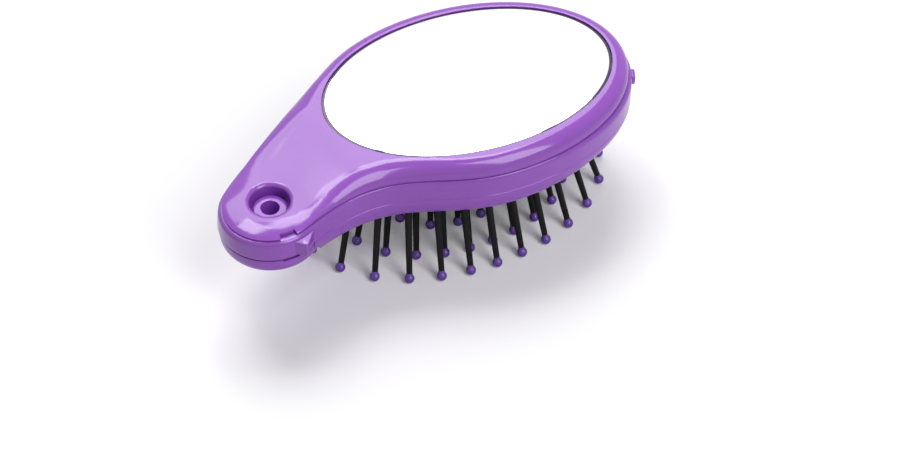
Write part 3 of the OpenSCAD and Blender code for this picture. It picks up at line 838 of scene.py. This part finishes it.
def math_node(tree, operation, a, b):
    """A Math node; a and b are sockets or numbers."""
    node = tree.nodes.new("ShaderNodeMath")
    node.operation = operation
    for socket, value in zip(node.inputs, (a, b)):
        if isinstance(value, (int, float)):
            socket.default_value = value
        else:
            tree.links.new(value, socket)
    return node.outputs[0]


def noise(tree, vector, scale, detail, roughness=0.5, stretch=None):
    node = tree.nodes.new("ShaderNodeTexNoise")
    node.inputs["Detail"].default_value = detail
    node.inputs["Roughness"].default_value = roughness
    if isinstance(scale, (int, float)):
        node.inputs["Scale"].default_value = scale
    else:
        tree.links.new(scale, node.inputs["Scale"])
    if stretch:
        mapping = tree.nodes.new("ShaderNodeMapping")
        mapping.inputs["Scale"].default_value = stretch
        tree.links.new(vector, mapping.inputs["Vector"])
        vector = mapping.outputs[0]
    tree.links.new(vector, node.inputs["Vector"])
    return node.outputs["Fac"]


def remap(tree, value, low, high, to_low, to_high):
    node = tree.nodes.new("ShaderNodeMapRange")
    for name, number in (("From Min", low), ("From Max", high), ("To Min", to_low), ("To Max", to_high)):
        node.inputs[name].default_value = number
    tree.links.new(value, node.inputs["Value"])
    return node.outputs[0]


# %% Moulded skin, hairlines and dust
skin, skin_in, skin_out = new_group("moulded_skin", {"Grain Scale": 900, "Wave Scale": 60},
                                    ["Height", "Tone"])
where = skin.nodes.new("ShaderNodeTexCoord").outputs["Object"]
grain = noise(skin, where, skin_in.outputs["Grain Scale"], 3)
wave = noise(skin, where, skin_in.outputs["Wave Scale"], 2)
height = math_node(skin, "ADD", math_node(skin, "MULTIPLY", grain, 0.12), wave)
skin.links.new(height, skin_out.inputs["Height"])
skin.links.new(remap(skin, wave, 0.3, 0.7, 0, 1), skin_out.inputs["Tone"])

hair, hair_in, hair_out = new_group("handling_marks", {"Density": 0.5}, ["Marks"])
where = hair.nodes.new("ShaderNodeTexCoord").outputs["Object"]
along = noise(hair, where, 420, 2, stretch=(0.06, 1.4, 1))
across = noise(hair, where, 380, 2, stretch=(1.3, 0.09, 1))
both = math_node(hair, "MAXIMUM", remap(hair, along, 0.66, 0.72, 0, 1),
                 remap(hair, across, 0.67, 0.73, 0, 1))
hair.links.new(math_node(hair, "MULTIPLY", both, hair_in.outputs["Density"]), hair_out.inputs["Marks"])

dust, dust_in, dust_out = new_group("dust", {"Amount": 0.3, "Speck Scale": 700}, ["Mask"])
where = dust.nodes.new("ShaderNodeTexCoord").outputs["Object"]
specks = remap(dust, noise(dust, where, dust_in.outputs["Speck Scale"], 1), 0.7, 0.78, 0, 1)
patches = remap(dust, noise(dust, where, 45, 3), 0.45, 0.75, 0, 1)
up = dust.nodes.new("ShaderNodeSeparateXYZ")
dust.links.new(dust.nodes.new("ShaderNodeNewGeometry").outputs["Normal"], up.inputs[0])
lying = math_node(dust, "MAXIMUM", up.outputs["Z"], 0)
mask = math_node(dust, "MULTIPLY", math_node(dust, "MULTIPLY", specks, patches),
                 math_node(dust, "MULTIPLY", lying, dust_in.outputs["Amount"]))
dust.links.new(mask, dust_out.inputs["Mask"])


# %% A material with its groups
def place_group(material, name, **values):
    node = material.node_tree.nodes.new("ShaderNodeGroup")
    node.node_tree = bpy.data.node_groups[name]
    for title, value in values.items():
        node.inputs[title.replace("_", " ")].default_value = value
    return node.outputs


def blend_colours(tree, share, low, high):
    node = tree.nodes.new("ShaderNodeMix")
    node.data_type = "RGBA"
    tree.links.new(share, node.inputs["Factor"])
    for socket, value in ((node.inputs[6], low), (node.inputs[7], high)):
        if isinstance(value, tuple):
            socket.default_value = (*value, 1)
        else:
            tree.links.new(value, socket)
    return node.outputs[2]


def new_material(name, low, high, rough, bump, skin_values, marks=0.0, dusty=0.0, **fixed):
    """A plastic or rubber: two close tones, a roughness range, and a bump of the moulded skin."""
    material = bpy.data.materials.new(name)
    material.use_nodes = True
    tree = material.node_tree
    shader = tree.nodes["Principled BSDF"]
    skin_sockets = place_group(material, "moulded_skin", **skin_values)
    colour = blend_colours(tree, skin_sockets["Tone"], low, high)
    roughness = remap(tree, skin_sockets["Tone"], 0, 1, *rough)
    height = skin_sockets["Height"]
    if marks:
        scratch = place_group(material, "handling_marks", Density=marks)["Marks"]
        roughness = math_node(tree, "ADD", roughness, math_node(tree, "MULTIPLY", scratch, 0.25))
        height = math_node(tree, "SUBTRACT", height, math_node(tree, "MULTIPLY", scratch, 0.1))
    if dusty:
        mask = place_group(material, "dust", Amount=dusty)["Mask"]
        colour = blend_colours(tree, mask, colour, (0.6, 0.58, 0.6))
    tree.links.new(colour, shader.inputs["Base Color"])
    tree.links.new(roughness, shader.inputs["Roughness"])
    bump_node = tree.nodes.new("ShaderNodeBump")
    bump_node.inputs["Strength"].default_value = bump
    bump_node.inputs["Distance"].default_value = 0.0002
    tree.links.new(height, bump_node.inputs["Height"])
    tree.links.new(bump_node.outputs[0], shader.inputs["Normal"])
    for title, value in fixed.items():
        shader.inputs[title.replace("_", " ")].default_value = value
    return material


purple = new_material("purple_gloss", (0.255, 0.064, 0.455), (0.268, 0.07, 0.48), (0.11, 0.15), 0.03,
                      {"Grain_Scale": 2600, "Wave_Scale": 70}, marks=0.08, dusty=0.04)
black = new_material("black_pins", (0.004, 0.004, 0.005), (0.007, 0.007, 0.008), (0.4, 0.5), 0.15,
                     {"Grain_Scale": 2600, "Wave_Scale": 300}, Specular_IOR_Level=0.15)
rubber = new_material("cushion_rubber", (0.014, 0.014, 0.016), (0.024, 0.024, 0.027), (0.55, 0.7), 0.5,
                      {"Grain_Scale": 2200, "Wave_Scale": 160}, dusty=0.4)
balls = new_material("ball_lacquer", (0.1, 0.03, 0.3), (0.14, 0.045, 0.38), (0.15, 0.25), 0.08,
                     {"Grain_Scale": 1500, "Wave_Scale": 500})
natural = new_material("bearing_plastic", (0.72, 0.71, 0.66), (0.8, 0.79, 0.74), (0.35, 0.5), 0.15,
                       {"Grain_Scale": 1800, "Wave_Scale": 120})
foam = new_material("foam_tape", (0.72, 0.72, 0.7), (0.84, 0.84, 0.81), (0.8, 0.95), 0.8,
                    {"Grain_Scale": 1500, "Wave_Scale": 700})
steel = new_material("spring_steel", (0.42, 0.43, 0.45), (0.52, 0.53, 0.55), (0.25, 0.4), 0.15,
                     {"Grain_Scale": 2000, "Wave_Scale": 150}, marks=0.8, Metallic=1.0)
mirror = new_material("silvered_glass", (0.96, 0.965, 0.97), (0.975, 0.98, 0.985), (0.035, 0.045), 0.0,
                      {"Grain_Scale": 400, "Wave_Scale": 30}, Metallic=1.0)

# %% [markdown]
# ## Painted shade at the mirror's edge
# A thin dark ring is painted round the glass's edge, and its metal is turned off there. It
# stands in for the dark recess wall and its shaded gap, reflected at the edge. A fine grey line
# is painted where the ground bevel begins, in place of the frame's inner wall reflected in the
# bevel. Both could be thin rings of their own, but they would lie in the glass's surface and
# flicker with it. So the finish measures how far a spot is from the middle, as a share of the
# oval, and changes its colour there.

# %% Painted shade at the mirror's edge: a dark ring and a grey line
# Painted shade: a dark ring for the recess wall and its shaded gap reflected at the glass's edge, and a grey
# line for the frame's inner wall reflected in the bevel
painted_gap_shade_colour, painted_bevel_line_colour = (0.05, 0.035, 0.075), (0.62, 0.62, 0.66)
painted_gap_shade_span, painted_line_rise, painted_line_fall = (0.98, 0.984), (0.966, 0.9675), (0.97, 0.9715)
tree = mirror.node_tree
shader = tree.nodes["Principled BSDF"]
spot = tree.nodes.new("ShaderNodeMapping")
spot.vector_type = "POINT"
spot.inputs["Location"].default_value = (-glass_at.x / plate_a, -glass_at.y / plate_b, 0)
spot.inputs["Scale"].default_value = (1 / (plate_a * MM), 1 / (plate_b * MM), 0)
tree.links.new(tree.nodes.new("ShaderNodeTexCoord").outputs["Object"], spot.inputs["Vector"])
reach = tree.nodes.new("ShaderNodeVectorMath")
reach.operation = "LENGTH"
tree.links.new(spot.outputs[0], reach.inputs[0])
# Painted dark ring: 1 on the mirror and 0 on the ring at the edge, where the colour turns dark and the metal
# goes off
clear_of_painted_gap_shade = remap(tree, reach.outputs["Value"], *painted_gap_shade_span, 1, 0)
# Painted grey line where the ground bevel begins, in place of the frame's inner wall reflected in it
ground = math_node(tree, "MULTIPLY", remap(tree, reach.outputs["Value"], *painted_line_rise, 0, 1),
                   remap(tree, reach.outputs["Value"], *painted_line_fall, 1, 0))
plain = shader.inputs["Base Color"].links[0].from_socket
lined = blend_colours(tree, ground, plain, painted_bevel_line_colour)
tree.links.new(blend_colours(tree, clear_of_painted_gap_shade, painted_gap_shade_colour, lined), shader.inputs["Base Color"])
tree.links.new(clear_of_painted_gap_shade, shader.inputs["Metallic"])

# %% Dress every piece
finishes = {"purple_gloss": purple, "black_plastic": black, "cushion_rubber": rubber, "ball_tips": balls,
            "natural_plastic": natural, "foam_tape": foam, "spring_steel": steel, "mirror": mirror}
slots = {part["node"]: part["material_slot"] for part in frame["record"]["subparts"]}


def dress(thing, material):
    if not thing.data.materials:
        thing.data.materials.append(material)
    for spot in thing.material_slots:
        spot.material = material


for piece, slot in made_pieces:
    dress(piece, finishes[slot])
for name in ("mirror_tape", "spring_washer", "pivot_bush", "slide_washer", "cushion_plate"):
    dress(frame["nodes"][name], finishes[slots[name]])

# %% [markdown]
# ## Camera
# The camera stands where the photographer's did. It could be placed by eye, but a few degrees
# change how the halves overlap, so it was fitted to the mirror's oval, the parting lines and the
# pivot's rings.

# %% Camera
lens = bpy.data.cameras.new("camera")
lens.lens = 100
lens.sensor_width = 36
camera = new_object("camera", lens)
camera.location = (-0.1184, -0.4286, 0.4747)
camera.rotation_euler = (math.radians(90 - 47.51), 0, math.radians(-21.47))
bpy.context.scene.camera = camera

# %% [markdown]
# ## Floor and light
# A plain white sweep: the floor shows the camera white and keeps the brush's soft shadow. One
# large lamp would light it evenly, but the gloss would show a single flat patch. So there are
# four: two small ones overhead and a little behind cast the shadow and put the small lights on
# the narrow end, a broad one behind gives the face its sheen, and a tall one in front gives the
# flank its long light.

# %% Floor
floor_z = (pad_top - pin_drop - ball_r) * MM
bm = bmesh.new()
bmesh.ops.create_grid(bm, x_segments=1, y_segments=1, size=3)
bmesh.ops.translate(bm, vec=(0, 0, floor_z), verts=bm.verts)
floor = new_object("floor", new_mesh("floor", bm))
paper = bpy.data.materials.new("paper")
paper.use_nodes = True
tree = paper.node_tree
shader = tree.nodes["Principled BSDF"]
shader.inputs["Base Color"].default_value = (0.86, 0.86, 0.87, 1)
shader.inputs["Roughness"].default_value = 0.9
shader.inputs["Specular IOR Level"].default_value = 0
path = tree.nodes.new("ShaderNodeLightPath")
seen = math_node(tree, "MULTIPLY", path.outputs["Is Camera Ray"], 0.1)
shader.inputs["Emission Color"].default_value = (1, 1, 1, 1)
tree.links.new(seen, shader.inputs["Emission Strength"])
floor.data.materials.append(paper)

# %% World and lamps
world = bpy.data.worlds.new("studio")
bpy.context.scene.world = world
world.use_nodes = True
tree = world.node_tree
path = tree.nodes.new("ShaderNodeLightPath")
through = math_node(tree, "MAXIMUM", path.outputs["Is Glossy Ray"],
                    path.outputs["Is Transmission Ray"])
shown = math_node(tree, "MAXIMUM", path.outputs["Is Camera Ray"], through)
tree.links.new(remap(tree, shown, 0, 1, 0.12, 1), tree.nodes["Background"].inputs["Strength"])
tree.nodes["Background"].inputs["Color"].default_value = (1, 1, 1, 1)


aim = Vector((0.05, 0.02, 0))


def lamp(name, azimuth, elevation, distance, size, size_y, brightness):
    """A flat lamp that faces the brush; brightness is how bright its face looks beside white."""
    light = bpy.data.lights.new(name, "AREA")
    light.shape = "RECTANGLE"
    light.size, light.size_y, light.energy = size, size_y, 4 * size * size_y * brightness
    holder = new_object(name, light)
    way = Vector((*on_circle(cosd(elevation), azimuth), sind(elevation)))
    holder.location = aim + way * distance
    holder.rotation_euler = way.to_track_quat("Z", "Y").to_euler()


lamp("key_left", 112, 66, 0.95, 0.28, 0.28, 7)
lamp("key_right", 62, 66, 0.95, 0.28, 0.28, 6.5)
lamp("soft_back", 82, 48, 1.2, 1.0, 0.52, 3)
lamp("soft_front", -66, 46, 1.1, 0.5, 1.0, 4)

# %% View
bpy.context.scene.view_settings.view_transform = "Standard"
